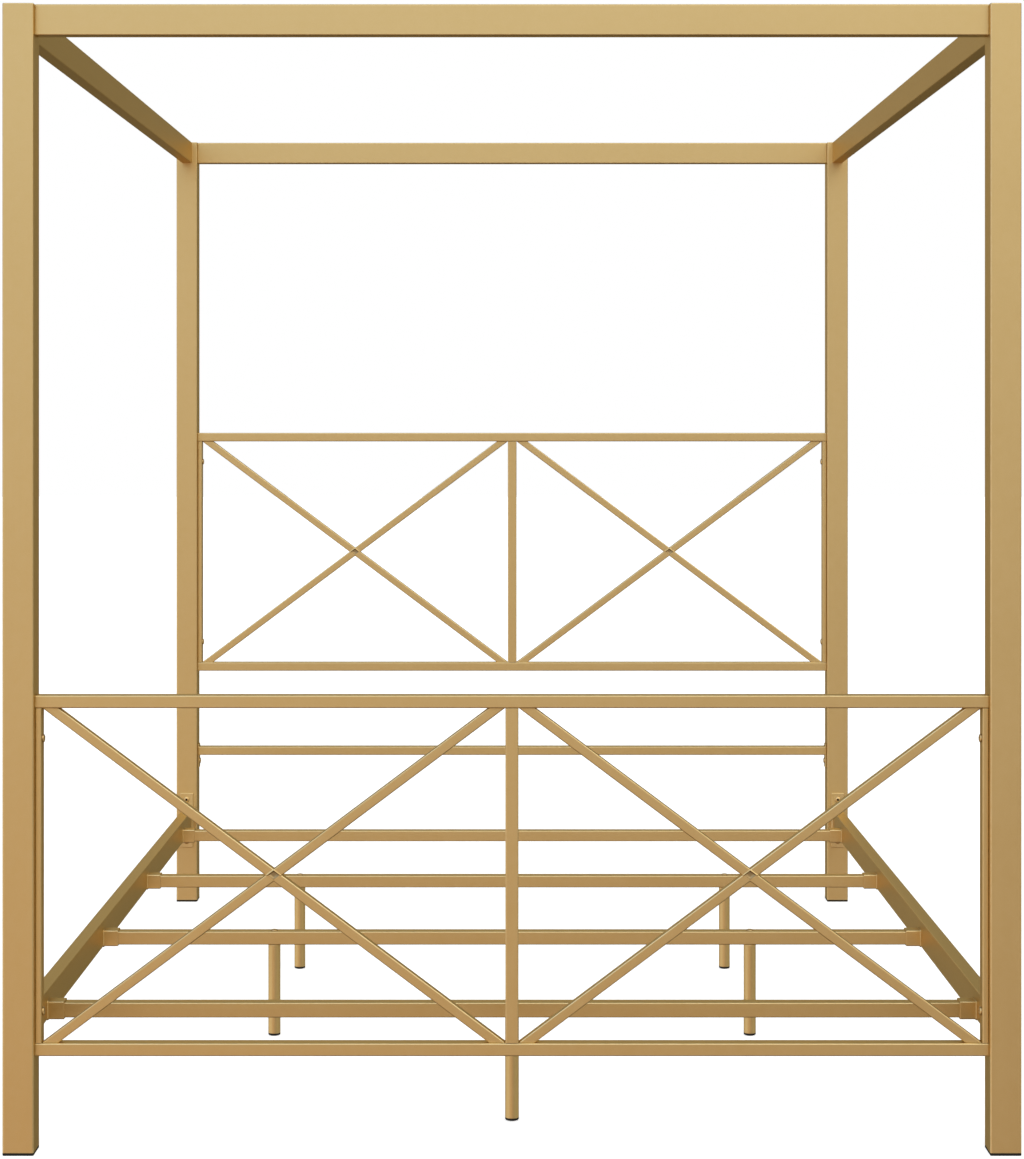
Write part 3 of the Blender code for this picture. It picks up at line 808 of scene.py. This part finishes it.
def make_leg(node):
    middle, size = middle_and_size(node)
    low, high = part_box(node)
    slat_low, slat_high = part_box(f"slat_{node.split('_')[1]}")
    radius = size.x / 2
    top = slat_low.z - GAP
    bore = round_outline(radius - LEG_WALL, LEG_SIDES)
    rings = [level(bore, top - LEG_TOP), level(bore, low.z),
             level(round_outline(radius - RIM, LEG_SIDES), low.z),
             level(round_outline(radius, LEG_SIDES, LEG_END_WEAR_AND_HIGHLIGHT), low.z + RIM),
             level(round_outline(radius, LEG_SIDES), low.z + LEG_WEAR_REACH),
             level(round_outline(radius, LEG_SIDES), top - LEG_WEAR_REACH),
             level(round_outline(radius, LEG_SIDES, LEG_END_WEAR_AND_HIGHLIGHT), top - RIM),
             level(round_outline(radius - RIM, LEG_SIDES), top),
             level(round_outline(SHANK_RADIUS, LEG_SIDES), top),
             level(round_outline(SHANK_RADIUS, LEG_SIDES), slat_high.z)]
    leg = new_object(f"{node}_tube", solid(rings), (middle.x, middle.y, 0))
    finished(leg, "gold_tube", node)
    head = [level(round_outline(HEAD_RADIUS - HEAD_BEVEL, LEG_SIDES), 0),
            level(round_outline(HEAD_RADIUS, LEG_SIDES, HEAD_WEAR_AND_HIGHLIGHT), HEAD_BEVEL)]
    tall = high.z - slat_high.z - GAP
    for step in range(LEG_DOME_STEPS):
        turn = math.pi / 2 * step / LEG_DOME_STEPS
        share = math.cos(turn)
        outline = round_outline(HEAD_RADIUS * share, LEG_SIDES, LEG_DOME_WEAR_AND_HIGHLIGHT * share)
        head.append(level(outline, HEAD_EDGE + (tall - HEAD_EDGE) * math.sin(turn)))
    dome = new_object(f"{node}_bolt_head", solid(head), (middle.x, middle.y, slat_high.z + GAP))
    finished(dome, "gold_bolt")


def make_leg_foot(node):
    middle, size = middle_and_size(node)
    rim_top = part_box(node.replace("_foot", ""))[0].z - GAP
    radius = size.x / 2
    rings = []
    for step in range(1, LEG_SOLE_STEPS + 1):
        turn = math.pi / 2 * step / LEG_SOLE_STEPS
        outline = round_outline(radius * math.sin(turn), LEG_SIDES, SOLE_WEAR)
        rings.append(level(outline, LEG_SOLE_SHARE * rim_top * (1 - math.cos(turn))))
    plug = round_outline(radius - LEG_WALL - GAP, LEG_SIDES)
    rings += [level(round_outline(radius, LEG_SIDES, FOOT_WEAR), rim_top - LEG_FOOT_BEVEL),
              level(round_outline(radius - LEG_FOOT_BEVEL, LEG_SIDES), rim_top),
              level(plug, rim_top), level(plug, size.z)]
    foot = new_object(f"{node}_plug", solid(rings), (middle.x, middle.y, 0))
    finished(foot, "black_foot", node)


# Headboard and footboard

def smooth_step(value):
    value = min(max(value, 0), 1)
    return value * value * (3 - 2 * value)


def edge_drop(distance, half):
    """How far a tube's face has rounded away at this distance from its centre line."""
    past = abs(distance) - half + TUBE_CORNER
    if past <= 0:
        return 0.0
    if past >= TUBE_CORNER:
        return half
    return TUBE_CORNER - math.sqrt(TUBE_CORNER ** 2 - past ** 2)


def pocket(own, other):
    """How deep the crossing is pressed in, steep under the upper edges, and how much shade is
    painted in it, most at its upper corner.
    """
    upward = min(max((own + other) / POCKET_HALF / 4 + 0.5, 0), 1)
    deep = POCKET_DEEP * (POCKET_SHALLOW + (1 - POCKET_SHALLOW) * upward)
    painted_shade = POCKET_LOW_SHADE + (1 - POCKET_LOW_SHADE) * upward ** 2
    for distance in (own, other):
        deep *= smooth_step((POCKET_HALF - distance) / POCKET_WALL)
        deep *= smooth_step((POCKET_HALF + distance) / POCKET_FADE)
        painted_shade *= smooth_step((POCKET_HALF + POCKET_SHADE_SPILL - abs(distance)) / POCKET_WALL)
    return deep, painted_shade


def ridge(own, other, half):
    """How far both upper edges stand up where they run on across the crossing."""
    tall = 0.0
    for across, along in ((own, other), (other, own)):
        ends = smooth_step((half - abs(along)) / LIP_FADE)
        tall = max(tall, LIP_TALL * ends * math.exp(-((across - LIP_OUT) / LIP_WIDE) ** 2))
    return tall


def crossing_point(own, other, slope, lean):
    """Where the lines this far above both centre lines meet, as x and z from the middle."""
    return lean * (other - own) / (2 * math.sin(slope)), (own + other) / (2 * math.cos(slope))


def brace_mesh(size, slope, lean, dented):
    """A slanting square bar about the origin, cut level at both ends.

    lean is 1 if it rises towards +X and -1 if it falls. A dented one has the pocket at its middle.
    """
    half = size.y / 2
    run = lean / math.tan(slope)
    outline = rounded(size.y, size.y, TUBE_CORNER, CROSSING_COLUMNS if dented else 1)

    def level_end(z):
        return [(Vector((run * z + u / math.sin(slope), v, z)), edge) for u, v, edge in outline]

    rings = [level_end(-size.z / 2)]
    steps = range(CROSSING_LEVELS + 1) if dented else ()
    for step in steps:
        other = CROSSING_SPAN * (2 * step / CROSSING_LEVELS - 1)
        ring = []
        for u, v, edge in outline:
            own = -lean * u
            x, z = crossing_point(own, other, slope, lean)
            back = v + half
            if back <= TUBE_CORNER:
                # the pocket's painted shade is carried as an edge value below 0
                deep, painted_shade = pocket(own, other)
                back = min(back, edge_drop(other, half)) + deep - ridge(own, other, half)
                edge = edge * smooth_step((abs(other) - half) / TUBE_CORNER + 1) - painted_shade
            ring.append((Vector((x, back - half, z)), edge))
        rings.append(ring)
    rings.append(level_end(size.z / 2))
    return solid(rings)


def lap_cutter(size, slope, lean, towards):
    """The half depth that a brace gives way to the one crossing it, as a block across it."""
    along = size.y / 2 + LAP_GAP
    across = size.y
    ways = ((1, 1), (-1, 1), (-1, -1), (1, -1))
    corners = [crossing_point(across * own, along * other, slope, lean) for own, other in ways]
    near = towards * LAP_GAP
    far = towards * size.y
    return solid([[(Vector((x, y, z)), 0) for x, z in corners] for y in (near, far)])


def cut(thing, cutter):
    """Cuts the cutter out of the piece for good."""
    modifier = thing.modifiers.new("cut", "BOOLEAN")
    modifier.object = cutter
    modifier.operation = "DIFFERENCE"
    modifier.solver = "EXACT"
    evaluated = thing.evaluated_get(bpy.context.evaluated_depsgraph_get())
    data = bpy.data.meshes.new_from_object(evaluated)
    thing.modifiers.clear()
    thing.data = data
    bpy.data.objects.remove(cutter)


def make_brace(prefix, side, sign, which):
    node = f"{prefix}_{side}_{which}_brace"
    middle, size = middle_and_size(node)
    slope = math.atan2(size.z, size.x) + math.asin(size.y / math.hypot(size.x, size.z))
    in_front = which == "front"
    lean = sign if in_front else -sign
    brace = new_object(f"{node}_tube", brace_mesh(size, slope, lean, in_front), middle)
    cutter = new_object("lap", lap_cutter(size, slope, lean, 1 if in_front else -1), middle)
    bpy.context.view_layer.update()
    cut(brace, cutter)
    finished(brace, "gold_tube", node)
    foot = size.y / math.sin(slope)
    reach = size.x / 2 - foot / 2
    ends = []
    for level_sign in (-1, 1):
        place = middle + Vector((level_sign * lean * reach, 0, level_sign * size.z / 2))
        inward = -level_sign * lean
        flank_x = inward * (foot / 2 - FLANK_INSET)
        flank = [Vector((flank_x, y * size.y, 0)) for y in (FLANK_START, 0.5)]
        back = [Vector((inward * x * foot / 2, size.y / 2, 0)) for x in (BACK_REACH, -BACK_REACH)]
        ends.append(bead([place + p for p in flank + back], PANEL_BEAD))
    return ends


def make_panel_bolt(prefix, side, sign, word):
    node = f"{prefix}_{side}_{word}_bolt"
    middle, _ = middle_and_size(node)
    bar = middle_and_size(f"{prefix}_{side}_bar")[1].x
    face_x = sign * (INNER_X - 2 * GAP - bar)
    bolt = new_object(f"{node}_button", bolt_mesh(bar + 4 * GAP + POST_WALL),
                      (face_x, middle.y, middle.z), (-sign, 0, 0))
    finished(bolt, "gold_bolt", node)


def make_panel(prefix):
    beads = []
    straight_tube(f"{prefix}_top_bar", "X", BAR_WALL)
    straight_tube(f"{prefix}_bottom_bar", "X", BAR_WALL)
    straight_tube(f"{prefix}_centre_bar", "Z", BAR_WALL)
    middle, size = middle_and_size(f"{prefix}_centre_bar")
    for up in (-1, 1):
        joint = middle + Vector((0, 0, up * size.z / 2))
        outline = outline_behind(joint, size.x, size.y, CENTRE_START * size.y)
        beads.append(bead(outline, PANEL_BEAD))
    for side, sign in SIDES.items():
        straight_tube(f"{prefix}_{side}_bar", "Z", BAR_WALL)
        for which in ("front", "rear"):
            beads += make_brace(prefix, side, sign, which)
        for word in ("lower", "upper"):
            make_panel_bolt(prefix, side, sign, word)
    welds = new_object(f"{prefix}_welds", joined(beads))
    finished(welds, "gold_tube")


def make_crossbar():
    node = "headboard_crossbar"
    low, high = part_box(node)
    bar_deep, bar_tall = [middle_and_size("headboard_bottom_bar")[1][i] for i in (1, 2)]
    tab_face = INNER_X - GAP - PLATE_THICK
    bar = new_object(f"{node}_tube", tube(bar_deep, bar_tall, 2 * tab_face, BAR_WALL),
                     (0, POST_Y, CROSSBAR_Z), (1, 0, 0))
    finished(bar, "gold_tube", node)
    beads = []
    for side, sign in SIDES.items():
        mesh = flat_plate((high.y - low.y, high.z - low.z, TAB_CORNER))
        place = (sign * tab_face, POST_Y, (low.z + high.z) / 2)
        tab = new_object(f"{node}_{side}_tab", mesh, place, (sign, 0, 0))
        finished(tab, "gold_plate")
        grip = PLATE_THICK + POST_WALL + 2 * GAP
        bolt = new_object(f"{node}_{side}_bolt", bolt_mesh(grip),
                          (sign * tab_face, POST_Y, TAB_BOLT_Z), (-sign, 0, 0))
        finished(bolt, "gold_bolt")
        around = [Vector((sign * tab_face, POST_Y + u, CROSSBAR_Z + v))
                  for u, v, _ in rounded(bar_deep, bar_tall, TUBE_CORNER)]
        beads.append(bead(around, PANEL_BEAD, closed=True))
    welds = new_object(f"{node}_welds", joined(beads))
    finished(welds, "gold_tube")


make_camera()
make_world()
make_floor()

FINISHES = {
    "gold_tube": gold_coat("gold powder coat", (0.80, 0.596, 0.272), (0.785, 0.580, 0.260),
                           roughness=0.42, peel=0.22, streaks=0.05),
    "gold_plate": gold_coat("gold coated plate", (0.79, 0.585, 0.258), (0.77, 0.565, 0.244),
                            roughness=0.44, peel=0.28, streaks=0.0),
    "gold_bolt": bolt_finish("gold lacquered zinc"),
    "black_foot": foot_finish("black polyethylene"),
}

for end_word, end_sign in ENDS.items():
    for side_word in SIDES:
        make_post(end_word, side_word)
        make_post_foot(end_word, side_word)
        make_rail_plate(end_word, end_sign, side_word)
make_canopy_rails()
for side_word, side_sign in SIDES.items():
    make_side_rail(side_word, side_sign)
make_slats()
for cad_name in sorted(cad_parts):
    if cad_name.startswith("leg_foot_"):
        make_leg_foot(cad_name)
    elif cad_name.startswith("leg_"):
        make_leg(cad_name)
make_panel("footboard")
make_panel("headboard")
make_crossbar()

scene = bpy.context.scene
scene.view_settings.view_transform = "Standard"
scene.view_settings.look = "None"

bpy.context.view_layer.update()
